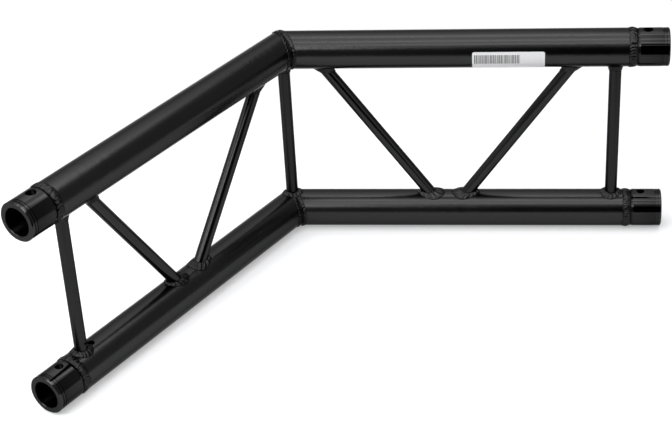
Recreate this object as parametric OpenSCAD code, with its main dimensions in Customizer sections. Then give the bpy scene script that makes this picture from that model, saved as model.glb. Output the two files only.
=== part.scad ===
// Corner section of a two-chord lighting truss: two legs at an angle, each with an upper and a lower
// chord tube, turned socket receivers on the open ends, and coped tube braces welded between the chords.
// Millimetres, +Z up. The origin is on the ground, at the centre of the plan outline.
// The corner points to +Y, the right leg runs to +X and -Y, the left leg to -X and -Y.

/* [Corner] */
// Angle between the two legs, seen from above
corner_angle = 120; // [90:5:150]
// Length of each leg along its axis, from the corner to the receiver's end face
leg_length = 500; // [460:5:800]
// Distance between the axes of the upper and the lower chord
chord_spacing = 240; // [180:5:400]

/* [Chord tubes] */
// Outside diameter of the chord tubes and receivers
chord_d = 50; // [46:0.5:60]
// Wall of the chord tubes
chord_wall = 2; // [1.5:0.25:4]
// Diameter of the drain hole in the top of the lower left chord
drain_d = 10.5; // [6:0.5:12]
// Gap between the drain hole and the surface of the end strut
drain_gap = 3.25; // [2:0.25:20]

/* [Braces] */
// Outside diameter of the struts and diagonals
brace_d = 16; // [12:0.5:20]
// Wall of the struts and diagonals
brace_wall = 2; // [1:0.25:3]
// Distance between the two diagonals of a leg, at the axis of the lower chord
foot_gap = 15; // [10:1:40]
// Corner axis to the inner diagonal at the upper chord, left leg
left_inner_start = 41; // [34:1:70]
// Corner axis to the inner diagonal at the upper chord, right leg
right_inner_start = 35.5; // [34:0.5:70]
// End strut to the outer diagonal at the upper chord, left leg
left_outer_gap = 29.5; // [26:0.5:60]
// End strut to the outer diagonal at the upper chord, right leg
right_outer_gap = 37.5; // [26:0.5:60]
// Shift of the feet away from the middle of the leg's bay, left leg
left_foot_shift = 8; // [-20:1:20]
// Shift of the feet away from the middle of the leg's bay, right leg
right_foot_shift = -1; // [-20:1:20]
// Diameter of the vent hole low on the left end strut
vent_d = 3.2; // [2:0.2:5]
// Height of the vent hole above the top of the lower chord
vent_height = 12; // [8:1:40]

/* [Receivers] */
// Length of the receiver outside the weld, end face to bevel
receiver_body = 37.5; // [36:0.5:60]
// Length of the shank that sits inside the chord tube
shank_length = 24; // [12:1:40]
// Radial clearance of the shank in the chord tube
shank_clearance = 0.1; // [0.05:0.05:0.3]
// Diameter of the conical socket at its mouth
socket_mouth_d = 35.5; // [33:0.5:38]
// Diameter of the conical socket at its narrow end
socket_end_d = 30.5; // [24:0.5:32]
// Depth of the conical socket
socket_depth = 54; // [44:1:64]
// Bevel of the outer edge of the end face
mouth_chamfer = 1.2; // [0.4:0.2:2]
// Bevel of the socket's mouth
socket_chamfer = 0.6; // [0.2:0.2:1.5]
// Distances of the two turned grooves from the end face
groove_places = [4.5, 8]; // [3:0.5:12]
// Width of a turned groove
groove_width = 1.2; // [0.4:0.1:1.5]
// Depth of a turned groove
groove_depth = 0.6; // [0.2:0.1:0.8]
// Distance from the end face to the axis of the tapered pin
pin_from_face = 27.5; // [20:0.5:30]
// Diameter of the pin hole in the outer wall, where the pin goes in
pin_in_d = 13.4; // [11:0.2:16]
// Diameter of the pin hole in the inner wall, where its tip comes out
pin_out_d = 11; // [8:0.2:13]

/* [Welds] */
// Root gap between the end of the chord tube and the receiver's shoulder
root_gap = 2; // [1:0.25:4]
// Length of the bevel on the receiver's shoulder
bevel_length = 6.5; // [4:0.25:8]
// Bare end of that bevel, left between the bead and the receiver
bevel_bare = 2.5; // [0.5:0.1:3]
// Lap of the receiver bead onto the chord tube
ring_lap = 5.5; // [3:0.5:8]
// Height of the receiver and mitre beads above the chord's surface
bead_height = 1.4; // [0.6:0.1:2.5]
// Half width of the mitre bead
mitre_half = 6; // [4:0.5:9]
// Height of the mitre bead in the valley between its two passes
mitre_valley = 0.5; // [0.2:0.1:0.6]
// Leg on the chord of the fillets at the feet of the braces
foot_chord_leg = 6.5; // [3:0.5:7]
// Leg on the brace of the fillets at the feet of the braces
foot_brace_leg = 3; // [2:0.5:7]
// Leg on the chord of the fillets at the heads of the braces
head_chord_leg = 3; // [2.5:0.5:7]
// Leg on the brace of the fillets at the heads of the braces
head_brace_leg = 7; // [2:0.5:9]
// Growth of a fillet's leg from the side of a leaning brace towards its open angle
toe_spread = 1.6; // [1:0.1:2]
// Bare chord left between the receiver bead and the fillet of the end strut
strut_clear = 1; // [0.5:0.5:20]

/* [Label] */
// Length of the label along the upper right chord
label_length = 93; // [40:1:120]
// Width of the label round the chord
label_width = 40; // [20:1:60]
// Outer diagonal of the right leg to the near edge of the label
label_gap = 54; // [24:0.5:80]
// Height of the label's upper edge, as an angle above the chord's side
label_top = 14; // [0:1:40]
// Thickness of the label
label_thick = 0.25; // [0.15:0.05:0.5]
// Thickness of the layer of glue under the label
label_glue = 0.1; // [0.1:0.05:0.3]

/* [Hidden] */
$fn = 96;
left = -1;
right = 1;
lower = 0;
upper = 1;
coat = "#1c1c1e";
bare_bead = "#27272a";
film = "#f2f2f0";
// Margin by which a cutter runs past what it cuts
over = 1;
chord_r = chord_d / 2;
chord_bore_r = chord_r - chord_wall;
brace_r = brace_d / 2;
// Angle of a leg to the X axis, which is also the mitre angle
leg_angle = (180 - corner_angle) / 2;
// Stations along a leg, from the corner axis to the end face
shoulder_end = leg_length - receiver_body;
shoulder_start = shoulder_end - bevel_length;
tube_end = shoulder_start - root_gap;
bead_start = tube_end - ring_lap;
bead_end = shoulder_end - bevel_bare;
shank_start = tube_end - shank_length;
shank_r = chord_bore_r - shank_clearance;
pin_station = leg_length - pin_from_face;
strut_station = bead_start - strut_clear - max(foot_chord_leg, head_chord_leg) - brace_r;
drain_from_strut = brace_r + drain_gap + drain_d / 2;
// How far a mitred tube reaches behind the corner axis, with room to be cut
mitre_reach = chord_r * tan(leg_angle) + over;
// Room that every cutter covers
reach = leg_length + chord_d;
height = chord_spacing + 2 * chord_d;
// The ground touches the lowest bead, and the plan outline is centred on the origin
base_z = chord_r + bead_height;
front_y = leg_length * sin(leg_angle) + chord_r * cos(leg_angle) - mouth_chamfer * sin(leg_angle);
back_y = (chord_r + mitre_valley) / cos(leg_angle);
plan_shift = (front_y - back_y) / 2;
// Rings and points of the swept welds
fillet_rings = 36;
crown_points = 10;
fillet_points = 4;
// Power of sine and cosine in the crown of a fillet: round below 2, hollow above 2
foot_crown = 1.6;
head_crown = 2.2;
bed_points = 4;
mitre_rings = 60;
mitre_points = 8;
// Film of air under a swept weld, so that its flat facets clear the round tubes
bed = 0.02;
brace_bed = bed + brace_r * (1 / cos(180 / fillet_rings) - 1);
widest_leg = max(foot_chord_leg, head_chord_leg) * toe_spread;
facet_span = norm([2 * PI * (brace_r + widest_leg) / fillet_rings, widest_leg / bed_points]);
chord_bed = bed + facet_span ^ 2 / (8 * chord_r);

// Stations of the diagonals of one leg
function inner_start(side) = side == left ? left_inner_start : right_inner_start;
function outer_start(side) = strut_station - (side == left ? left_outer_gap : right_outer_gap);
function foot_shift(side) = side == left ? left_foot_shift : right_foot_shift;
function foot_middle(side) = (inner_start(side) + outer_start(side)) / 2 + foot_shift(side);
function inner_foot(side) = foot_middle(side) - foot_gap / 2;
function outer_foot(side) = foot_middle(side) + foot_gap / 2;

// Station of the label's edge on the side of the corner
function label_start() = outer_start(right) - label_gap - label_length;

// Radius of the receiver's bevel at a station along the leg
function bevel_r(s) = shank_r + (chord_r - shank_r) * (s - shoulder_start) / bevel_length;

// Distance along a brace from the chord's axis to the point that lies at angle a and radius r round the
// brace and at radius rho round the chord; lean is the angle between brace and chord
function saddle(a, r, rho, lean) = (sqrt(rho ^ 2 - (r * sin(a)) ^ 2) + r * cos(a) * cos(lean)) / sin(lean);

// Angle round the corner strut, measured from the leg on the same side of the mitre
function from_leg(a) = cos(a) >= 0 ? a + leg_angle : 180 - a + leg_angle;

// Height of the mitre bead at distance x from the mitre: two ridges with a valley between them
function mitre_height(x) =
  let (ridge = mitre_half / 2, far = max(abs(x) - ridge, 0) / (mitre_half - ridge))
  abs(x) <= ridge
    ? mitre_valley + (bead_height - mitre_valley) * sin(90 * abs(x) / ridge)
    : bead_height * cos(90 * far) + chord_bed * far;

// Legs of a fillet on the chord and on the brace
function chord_leg(level) = level == lower ? foot_chord_leg : head_chord_leg;
function brace_leg(level) = level == lower ? foot_brace_leg : head_brace_leg;

// Leg of a fillet on the chord in direction a: longer in the open angle of a leaning brace, shorter in the
// sharp angle, and kept clear of a round hole on the side of the corner
function toe_leg(a, level, lean, hole_distance, hole_r) =
  let (
    leg = chord_leg(level) * toe_spread ^ (-cos(a) * cos(lean)),
    aside = hole_distance * sin(a),
    ahead = -hole_distance * cos(a)
  )
  ahead > 0 && abs(aside) < hole_r
    ? min(leg, ahead - sqrt(hole_r ^ 2 - aside ^ 2) - brace_r)
    : leg;

// Cross-section of a fillet: the crown from the brace to the toe, then its bed back along the chord
function fillet_section(toe, level) = concat(
  [
    for (j = [0 : fillet_points])
      let (t = 90 * j / fillet_points, crown = level == lower ? foot_crown : head_crown)
      [brace_bed + toe * sin(t) ^ crown, chord_bed + brace_leg(level) * cos(t) ^ crown]
  ],
  [for (j = [bed_points - 1 : -1 : 0]) [brace_bed + toe * j / bed_points, chord_bed]]
);

// Triangles between successive rings that each have the same number of points
function skin(rings, points, closed) = [
  for (i = [0 : rings - (closed ? 1 : 2)], j = [0 : points - 1], half = [0, 1])
    let (
      a = i * points + j,
      b = i * points + (j + 1) % points,
      c = ((i + 1) % rings) * points + (j + 1) % points,
      d = ((i + 1) % rings) * points + j
    )
    half == 0 ? [a, c, b] : [a, d, c]
];

// Frame of the whole part: corner axis at X = 0, lower chord axis at Z = 0 becomes its place on the ground
module placed() {
  translate([0, plan_shift, base_z])
    children();
}

// Frame of one chord: X runs along the leg from the corner axis, Z is up, the origin is on the chord's axis
module on_chord(side, level) {
  translate([0, 0, level * chord_spacing])
    mirror([side == left ? 1 : 0, 0, 0])
      rotate([0, 0, -leg_angle])
        children();
}

// Frame of one leg, at the lower chord, turned over for the upper chord so that braces always point to +Z
module from_level(side, level) {
  on_chord(side, level)
    mirror([0, 0, level == upper ? 1 : 0])
      children();
}

// Round bar along X between two stations
module bar(r, from, to) {
  translate([from, 0, 0])
    rotate([0, 90, 0])
      cylinder(h = to - from, r = r);
}

// Half of space on one leg's side of the mitre
module leg_side(side) {
  translate([side == left ? -reach : 0, -reach, -height])
    cube([reach, 2 * reach, 3 * height]);
}

// Solid bar with the outline of one mitred chord
module chord_bar(side, level) {
  intersection() {
    on_chord(side, level)
      bar(chord_r, -mitre_reach, leg_length);
    leg_side(side);
  }
}

// Drain hole, drilled from above beside the end strut
module drain_hole() {
  on_chord(left, lower)
    translate([strut_station - drain_from_strut, 0, 0])
      cylinder(h = chord_d, d = drain_d);
}

// Mitred chord tube, cut square at its receiver
module chord(side, level) {
  color(coat)
    placed()
      difference() {
        intersection() {
          on_chord(side, level)
            difference() {
              bar(chord_r, -mitre_reach, tube_end);
              bar(chord_bore_r, -mitre_reach - over, tube_end + over);
            }
          leg_side(side);
        }
        if (side == left && level == lower)
          drain_hole();
      }
}

// Outline of the turned receiver, radius against station, from the shank round the outside to the socket
function receiver_outline() = concat(
  [
    [socket_end_d / 2, shank_start],
    [shank_r - socket_chamfer, shank_start],
    [shank_r, shank_start + socket_chamfer],
    [shank_r, shoulder_start],
    [chord_r, shoulder_end]
  ],
  [
    for (i = [len(groove_places) - 1 : -1 : 0])
      let (g = leg_length - groove_places[i], h = groove_width / 2, low = chord_r - groove_depth)
      each [[chord_r, g - h], [low, g - h], [low, g + h], [chord_r, g + h]]
  ],
  [
    [chord_r, leg_length - mouth_chamfer],
    [chord_r - mouth_chamfer, leg_length],
    [socket_mouth_d / 2 + socket_chamfer, leg_length],
    [socket_mouth_d / 2, leg_length - socket_chamfer],
    [socket_end_d / 2, leg_length - socket_depth]
  ]
);

// Receiver with its conical socket and the hole for the tapered pin, which goes in from the outer side
module receiver(side, level) {
  color(coat)
    placed()
      on_chord(side, level)
        difference() {
          rotate([0, 90, 0])
            rotate_extrude()
              polygon(receiver_outline());
          mirror([0, 0, level == lower ? 1 : 0])
            translate([pin_station, 0, 0]) {
              cylinder(h = chord_d, d = pin_in_d);
              mirror([0, 0, 1])
                cylinder(h = chord_d, d = pin_out_d);
            }
        }
}

// Ring bead that fills the groove between chord tube and receiver
module receiver_weld(side, level) {
  toe_r = bevel_r(bead_end);
  crown = [
    for (i = [0 : crown_points])
      let (t = i / crown_points, drop = (chord_r - toe_r) * max(2 * t - 1, 0))
      [chord_r - drop + bead_height * sin(180 * t), bead_start + (bead_end - bead_start) * t]
  ];
  color(bare_bead)
    placed()
      on_chord(side, level)
        rotate([0, 90, 0])
          rotate_extrude()
            polygon(concat(crown, [[shank_r, shoulder_start], [shank_r, tube_end], [chord_r, tube_end]]));
}

// Vertical strut between the chords of one leg, coped over both
module end_strut(side) {
  color(coat)
    placed()
      difference() {
        on_chord(side, lower)
          translate([strut_station, 0, 0])
            difference() {
              cylinder(h = chord_spacing, r = brace_r);
              translate([0, 0, -over])
                cylinder(h = chord_spacing + 2 * over, r = brace_r - brace_wall);
              if (side == left)
                translate([0, 0, chord_r + vent_height])
                  rotate([90, 0, 0])
                    cylinder(h = brace_d, d = vent_d);
            }
        for (level = [lower, upper])
          chord_bar(side, level);
      }
}

// Vertical strut on the mitres, coped over both legs
module corner_strut() {
  color(coat)
    placed()
      difference() {
        cylinder(h = chord_spacing, r = brace_r);
        translate([0, 0, -over])
          cylinder(h = chord_spacing + 2 * over, r = brace_r - brace_wall);
        for (side = [left, right], level = [lower, upper])
          chord_bar(side, level);
      }
}

// Round bar of radius r along a diagonal, from its foot on the lower chord to its head on the upper chord
module diagonal_bar(side, foot, head, r, extra = 0) {
  on_chord(side, lower)
    translate([foot, 0, 0])
      rotate([0, atan2(head - foot, chord_spacing), 0])
        translate([0, 0, -extra])
          cylinder(h = norm([head - foot, chord_spacing]) + 2 * extra, r = r);
}

// Diagonal tube, coped over the upper and the lower chord
module diagonal(side, foot, head) {
  color(coat)
    placed()
      difference() {
        diagonal_bar(side, foot, head, brace_r);
        diagonal_bar(side, foot, head, brace_r - brace_wall, over);
        for (level = [lower, upper])
          chord_bar(side, level);
      }
}

// Fillet bead round a brace where it meets a chord. It follows the saddle curve of the two tubes.
module fillet(level, lean, on_mitre = false, hole_distance = 0, hole_r = 0) {
  points = [
    for (i = [0 : fillet_rings - 1])
      let (a = 360 * i / fillet_rings)
      for (q = fillet_section(toe_leg(a, level, lean, hole_distance, hole_r), level))
        let (r = brace_r + q[0], rho = chord_r + q[1])
        [r * cos(a), r * sin(a), saddle(on_mitre ? from_leg(a) : a, r, rho, lean)]
  ];
  polyhedron(points, skin(fillet_rings, fillet_points + 1 + bed_points, true));
}

// Fillet bead at one end of an end strut
module end_strut_weld(side, level) {
  drained = side == left && level == lower;
  color(bare_bead)
    placed()
      from_level(side, level)
        translate([strut_station, 0, 0])
          fillet(level, 90, false, drained ? drain_from_strut : 0, drain_d / 2 + bed);
}

// Fillet bead at one end of the corner strut, over the mitre
module corner_strut_weld(level) {
  color(bare_bead)
    placed()
      translate([0, 0, level * chord_spacing])
        mirror([0, 0, level == upper ? 1 : 0])
          fillet(level, 90, true);
}

// Fillet bead at one end of a diagonal; far is the station of the diagonal's other end
module diagonal_weld(side, level, near, far) {
  lean = atan2(chord_spacing, far - near);
  color(bare_bead)
    placed()
      from_level(side, level)
        translate([near, 0, 0])
          rotate([0, 90 - lean, 0])
            fillet(level, lean);
}

// Bead along the mitre of one pair of chords, laid in two passes. It starts at the back of the corner
// strut's fillet, runs under or over the chords and ends at the front of the same fillet.
module mitre_weld(level) {
  fillet_r = brace_r + brace_bed + chord_leg(level) + bed;
  section = concat(
    [
      for (j = [0 : mitre_points])
        let (x = mitre_half * (2 * j / mitre_points - 1))
        [x, mitre_height(x)]
    ],
    [[0, chord_bed]]
  );
  bed_point = mitre_points + 1;
  points = [
    for (i = [0 : mitre_rings - 1], q = section)
      let (
        rho = chord_r + q[1],
        lean = abs(q[0]) * tan(leg_angle),
        edge = sqrt(fillet_r ^ 2 - q[0] ^ 2),
        start = acos((lean + edge) * cos(leg_angle) / rho),
        end = acos((lean - edge) * cos(leg_angle) / rho) - 360,
        a = start + (end - start) * i / (mitre_rings - 1)
      )
      [q[0], rho * cos(a) / cos(leg_angle) - lean, rho * sin(a)]
  ];
  last = (mitre_rings - 1) * (mitre_points + 2);
  caps = [
    for (j = [0 : mitre_points - 1], at_end = [false, true])
      at_end ? [last + bed_point, last + j + 1, last + j] : [bed_point, j, j + 1]
  ];
  color(bare_bead)
    placed()
      translate([0, 0, level * chord_spacing])
        mirror([0, 0, level == upper ? 1 : 0])
          polyhedron(points, concat(skin(mitre_rings, mitre_points + 2, false), caps));
}

// Film label, wrapped round the front and underside of the upper right chord
module identification_label() {
  wrap = label_width / chord_r * 180 / PI;
  color(film)
    placed()
      on_chord(right, upper)
        translate([label_start(), 0, 0])
          rotate([0, 90, 0])
            rotate([0, 0, -90 - label_top])
              rotate_extrude(angle = wrap)
                translate([chord_r + label_glue, 0])
                  square([label_thick, label_length]);
}

chord(left, upper);  // upper_left_chord
chord(right, upper);  // upper_right_chord
chord(left, lower);  // lower_left_chord
chord(right, lower);  // lower_right_chord
receiver(left, upper);  // upper_left_receiver
receiver(right, upper);  // upper_right_receiver
receiver(left, lower);  // lower_left_receiver
receiver(right, lower);  // lower_right_receiver
end_strut(left);  // left_end_strut
corner_strut();
end_strut(right);  // right_end_strut
diagonal(left, inner_foot(left), inner_start(left));  // left_inner_diagonal
diagonal(left, outer_foot(left), outer_start(left));  // left_outer_diagonal
diagonal(right, inner_foot(right), inner_start(right));  // right_inner_diagonal
diagonal(right, outer_foot(right), outer_start(right));  // right_outer_diagonal
receiver_weld(left, upper);  // upper_left_receiver_weld
receiver_weld(right, upper);  // upper_right_receiver_weld
receiver_weld(left, lower);  // lower_left_receiver_weld
receiver_weld(right, lower);  // lower_right_receiver_weld
mitre_weld(upper);  // upper_mitre_weld
mitre_weld(lower);  // lower_mitre_weld
end_strut_weld(left, upper);  // left_end_strut_upper_weld
end_strut_weld(left, lower);  // left_end_strut_lower_weld
corner_strut_weld(upper);  // corner_strut_upper_weld
corner_strut_weld(lower);  // corner_strut_lower_weld
end_strut_weld(right, upper);  // right_end_strut_upper_weld
end_strut_weld(right, lower);  // right_end_strut_lower_weld
diagonal_weld(left, upper, inner_start(left), inner_foot(left));  // left_inner_diagonal_upper_weld
diagonal_weld(left, lower, inner_foot(left), inner_start(left));  // left_inner_diagonal_lower_weld
diagonal_weld(left, upper, outer_start(left), outer_foot(left));  // left_outer_diagonal_upper_weld
diagonal_weld(left, lower, outer_foot(left), outer_start(left));  // left_outer_diagonal_lower_weld
diagonal_weld(right, upper, inner_start(right), inner_foot(right));  // right_inner_diagonal_upper_weld
diagonal_weld(right, lower, inner_foot(right), inner_start(right));  // right_inner_diagonal_lower_weld
diagonal_weld(right, upper, outer_start(right), outer_foot(right));  // right_outer_diagonal_upper_weld
diagonal_weld(right, lower, outer_foot(right), outer_start(right));  // right_outer_diagonal_lower_weld
identification_label();
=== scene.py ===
# %% [markdown]
# # A black lighting truss corner
#
# Two legs of welded tube meet at 120 degrees. Each leg has an upper and a lower chord, a vertical strut
# at its end and two diagonals in a V. The tubes and the turned receivers come from the CAD model, exact
# to the millimetre. What CAD leaves plain is made here: the rippled weld beads, the printed label, the
# paint, the light and the camera.

import math

import bmesh
import bpy
import mathutils
import numpy as np
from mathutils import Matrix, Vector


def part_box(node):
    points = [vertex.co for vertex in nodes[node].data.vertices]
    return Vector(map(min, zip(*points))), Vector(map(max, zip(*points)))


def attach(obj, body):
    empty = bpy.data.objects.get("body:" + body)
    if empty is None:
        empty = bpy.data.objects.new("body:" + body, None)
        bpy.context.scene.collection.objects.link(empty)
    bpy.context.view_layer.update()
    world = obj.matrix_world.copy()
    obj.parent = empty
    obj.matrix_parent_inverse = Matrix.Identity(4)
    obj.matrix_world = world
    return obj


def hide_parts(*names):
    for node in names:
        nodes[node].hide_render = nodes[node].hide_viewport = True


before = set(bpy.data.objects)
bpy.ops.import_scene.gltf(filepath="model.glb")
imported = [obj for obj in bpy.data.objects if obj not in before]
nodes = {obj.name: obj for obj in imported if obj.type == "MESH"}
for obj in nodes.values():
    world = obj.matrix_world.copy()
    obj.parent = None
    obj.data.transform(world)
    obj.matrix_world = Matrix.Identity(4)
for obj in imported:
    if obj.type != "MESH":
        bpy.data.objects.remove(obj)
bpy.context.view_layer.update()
print(len(nodes), "CAD nodes")

# %% [markdown]
# ## Camera
#
# The photograph was solved as a pinhole camera: the edges of the chords and the rims of the sockets fix
# where it stood and how long its lens was. It looks down at about thirty degrees into the inside of the
# angle, and the long lens keeps the legs almost free of distortion. A camera can also be aimed by eye or
# by a Track To constraint. Fixed numbers are used here, because the picture has to lie on the photograph.

# %% Place the camera
SENSOR_WIDE, LENS, NEAREST = 36.0, 92.75, 0.05
CAMERA_PLACE = (-0.7687, -1.7865, 1.2516)
CAMERA_DEGREES = (58.645, 2.815, -25.271)


def add_object(name, data):
    """A new object that shows a camera, mesh or lamp, linked into the scene."""
    thing = bpy.data.objects.new(name, data)
    bpy.context.scene.collection.objects.link(thing)
    return thing


camera_data = bpy.data.cameras.new("photo_camera")
camera_data.sensor_width = SENSOR_WIDE
camera_data.lens = LENS
camera_data.clip_start = NEAREST
camera = add_object("photo_camera", camera_data)
camera.location = CAMERA_PLACE
camera.rotation_euler = [math.radians(angle) for angle in CAMERA_DEGREES]
bpy.context.scene.camera = camera
bpy.context.scene.view_settings.view_transform = "Standard"
print("lens", LENS, "mm, distance", round(camera.location.length, 2), "m")

# %% [markdown]
# ## The frame of one chord
#
# Every weld is easiest to describe next to its own chord. In the chord's frame X runs along the leg from
# the corner axis and Z is up, in millimetres. The corner axis, the radii and the heights of the chords
# are measured on the CAD nodes and not typed in again, so the beads follow the model. Blender itself
# works in metres.

# %% Measure the CAD nodes
LEFT, RIGHT = -1, 1
LOWER, UPPER = 0, 1
SIDE_WORD = {LEFT: "left", RIGHT: "right"}
LEVEL_WORD = {LOWER: "lower", UPPER: "upper"}
INWARD = {LOWER: 1, UPPER: -1}
LEG_ANGLE = math.radians(30)
MM = 1000

strut_low, strut_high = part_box("corner_strut")
chord_low, chord_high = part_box("lower_left_receiver")
CORNER_Y = (strut_low[1] + strut_high[1]) / 2
CHORD_R = (chord_high[2] - chord_low[2]) / 2 * MM
BRACE_R = (strut_high[0] - strut_low[0]) / 2 * MM
LEVEL_Z = {
    LOWER: (chord_high[2] + chord_low[2]) / 2,
    UPPER: sum(corner[2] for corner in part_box("upper_left_receiver")) / 2,
}
SPACING = (LEVEL_Z[UPPER] - LEVEL_Z[LOWER]) * MM
print("chord radius", round(CHORD_R, 2), "brace radius", round(BRACE_R, 2), "spacing", round(SPACING, 2))


# %% From a chord's frame to the part's
def to_part(points, side, level, from_inside=False):
    """Points of a chord's frame become points of the part. From inside, Z runs to the other chord."""
    along, across, up = np.moveaxis(np.asarray(points, float) / MM, -1, 0)
    x = side * (along * math.cos(LEG_ANGLE) + across * math.sin(LEG_ANGLE))
    y = across * math.cos(LEG_ANGLE) - along * math.sin(LEG_ANGLE) + CORNER_Y
    z = up * (INWARD[level] if from_inside else 1) + LEVEL_Z[level]
    return np.stack([x, y, z], axis=-1)


def to_corner(points, level):
    """Points about the corner axis, Z running to the other chord, become points of the part."""
    return points / MM * (1, 1, INWARD[level]) + (0, CORNER_Y, LEVEL_Z[level])


# %% [markdown]
# ## Surfaces from a grid of points
#
# A bead is a section that is swept along a path, so it is a grid of points: one row for each step along
# the path. Blender can sweep a curve with a bevel, but then all sections are alike, and no two places on
# a weld are. So the points are worked out one by one, and a helper joins the rows with quads and closes
# the ends where the path isn't a loop. The order of a face's corners decides which way it looks, and
# bmesh turns all of them outward.


# %% Faces of a grid
def grid_faces(count, width, loop):
    """Quads between rows of points, each row a closed section, with caps if the path is no loop."""
    faces = []
    for i in range(count if loop else count - 1):
        k = (i + 1) % count
        for j in range(width):
            m = (j + 1) % width
            faces.append((i * width + j, i * width + m, k * width + m, k * width + j))
    if not loop:
        faces.append(tuple(range(width)))
        faces.append(tuple((count - 1) * width + j for j in reversed(range(width))))
    return faces


def turn_outward(mesh):
    """Turns every face of a closed mesh to the outside."""
    work = bmesh.new()
    work.from_mesh(mesh)
    bmesh.ops.recalc_face_normals(work, faces=work.faces)
    work.to_mesh(mesh)
    work.free()


# %% [markdown]
# ## Toes and pits
#
# A weld ends on the tube in a line that is called its toe. Every point of a bead stores how near it lies to
# a toe, as an attribute that the paint can read, and the paint darkens the toes: a painted shade of the
# crease between bead and tube. Frozen metal is also pitted. A bump in the material would show pits only in
# the light, so a three-dimensional noise moves the points themselves along their normals. The toes stay
# where they lie on the tubes.

# %% Build a bead in place of the plain one
TOE_SHARE = 0.15
PIT_SIZE, PIT_DEPTH = 0.0028, 0.0004
beads = []


def toe_marks(section, closing, share=TOE_SHARE):
    """1 at both ends of a bead's section, 0 inside it, and 1 on the closing points within the tubes."""
    return [max(1 - min(t, 1 - t) / share, 0) for t in section] + [1.0] * closing


def pit(mesh, marks):
    """Moves the points along their normals by a noise, except on the toes."""
    normals = [vertex.normal.copy() for vertex in mesh.vertices]
    for vertex, normal, toe in zip(mesh.vertices, normals, marks):
        vertex.co += normal * PIT_DEPTH * (1 - toe) * mathutils.noise.noise(vertex.co / PIT_SIZE)
    mesh.update()


def add_bead(node, rows, toes, loop=True):
    """A smooth bead from an array of rows x points x 3, which replaces the plain CAD bead of that node."""
    name = node.replace("_weld", "_bead")
    count, width = rows.shape[:2]
    mesh = bpy.data.meshes.new(name)
    mesh.from_pydata(rows.reshape(-1, 3).tolist(), [], grid_faces(count, width, loop))
    turn_outward(mesh)
    mesh.polygons.foreach_set("use_smooth", [True] * len(mesh.polygons))
    mesh.attributes.new("toe", "FLOAT", "POINT").data.foreach_set("value", toes * count)
    pit(mesh, toes * count)
    piece = add_object(name, mesh)
    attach(piece, "root")
    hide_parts(node)
    beads.append(piece)


# %% [markdown]
# ## Weld ripples
#
# A welder adds metal drop by drop, and each drop freezes over the edge of the last one, like a row of
# coins pushed over. A sine wave would make all drops alike. Here each one is a rounded lump with a sharp
# valley before the next, and gets its own height and length from a seeded random series, which gives the
# same bead on every run. A second, slower wave is the wander of the welder's hand.

# %% The height of a row of weld drops
LOWEST_CREST, LEAST_WAVE = 0.45, 0.4


def drops(count, seed, valley=0.6, uneven=0.3):
    """A function of the way along a bead, 0 to 1: height of the drops, up to 1 on a crest."""
    rng = np.random.default_rng(seed)
    ends = np.cumsum(rng.uniform(1 - uneven, 1 + uneven, count))
    ends = np.concatenate([[0.0], ends / ends[-1]])
    crest = rng.uniform(LOWEST_CREST, 1.0, count)

    def height(way):
        way = np.mod(way, 1.0)
        k = np.clip(np.searchsorted(ends, way, side="right") - 1, 0, count - 1)
        inside = (way - ends[k]) / (ends[k + 1] - ends[k])
        return crest[k] * np.abs(np.sin(np.pi * inside)) ** valley

    return height


def slow_wave(seed, waves=3):
    """A function of the way round a loop, 0 to 1: a smooth random wave from -1 to 1."""
    rng = np.random.default_rng(seed)
    phase, size = rng.uniform(0, 2 * np.pi, waves), rng.uniform(LEAST_WAVE, 1.0, waves)

    def value(way):
        total = sum(s * np.sin(2 * np.pi * (n + 1) * way + p) for n, (s, p) in enumerate(zip(size, phase)))
        return total / size.sum()

    return value


print("ten drops, measured at five places:", drops(10, seed=1)(np.linspace(0.1, 0.9, 5)).round(2).tolist())

# %% [markdown]
# ## Fillet beads round the brace ends
#
# A brace is coped to sit on its chord, and the joint runs round it as a saddle: it is high where the
# brace meets the ridge of the round chord and low on the chord's front and back. A torus would cut
# through the tubes, so the bead follows the formula of that saddle. At the feet the molten metal spread
# out flat over the chord, and at the heads it ran along the brace, so the two have different legs, in
# millimetres. Where a brace leans, the bead reaches further into the open angle than into the sharp one.
# Beside the foot of the left end strut the chord has a drain hole, and the bead stops short of it.

# %% The saddle and the legs
CHORD_LEG = {LOWER: 6.5, UPPER: 3.2}
BRACE_LEG = {LOWER: 3.2, UPPER: 7.0}
SPREAD = 1.6
DRAIN, DRAIN_R = 16.5, 5.3


def saddle(a, r, rho, lean):
    """Way along a brace from the chord's axis to radius rho, at angle a and radius r round the brace."""
    across = np.maximum(rho**2 - (r * np.sin(a)) ** 2, 0)
    return (np.sqrt(across) + r * np.cos(a) * math.cos(lean)) / math.sin(lean)


def toe_reach(a, level, lean, drain):
    """Leg of the bead on the chord in every direction a, kept short of a drain hole at that distance."""
    toe = CHORD_LEG[level] * SPREAD ** (-np.cos(a) * math.cos(lean))
    aside, ahead = drain * np.sin(a), -drain * np.cos(a)
    near = (ahead > 0) & (np.abs(aside) < DRAIN_R)
    room = ahead - np.sqrt(np.maximum(DRAIN_R**2 - aside**2, 0)) - BRACE_R
    return np.where(near, np.minimum(toe, room), toe)


print("legs at a foot:", CHORD_LEG[LOWER], "mm on the chord,", BRACE_LEG[LOWER], "mm on the brace")

# %% [markdown]
# The section goes from the brace to the chord in eleven points. It is hollow, and both toes end in a
# small step, which shows as a dark line round the bead. Drops ride on a slower wave, so that the bead is
# lumpy rather than regular, and the middle of each drop lags behind its edges. Three more points close
# the section a little way inside the tubes, so that no gap can show. Steps and depths are in millimetres,
# and a share says how much of a lump reaches the middle of the section, its chord side or its brace side.

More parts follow.
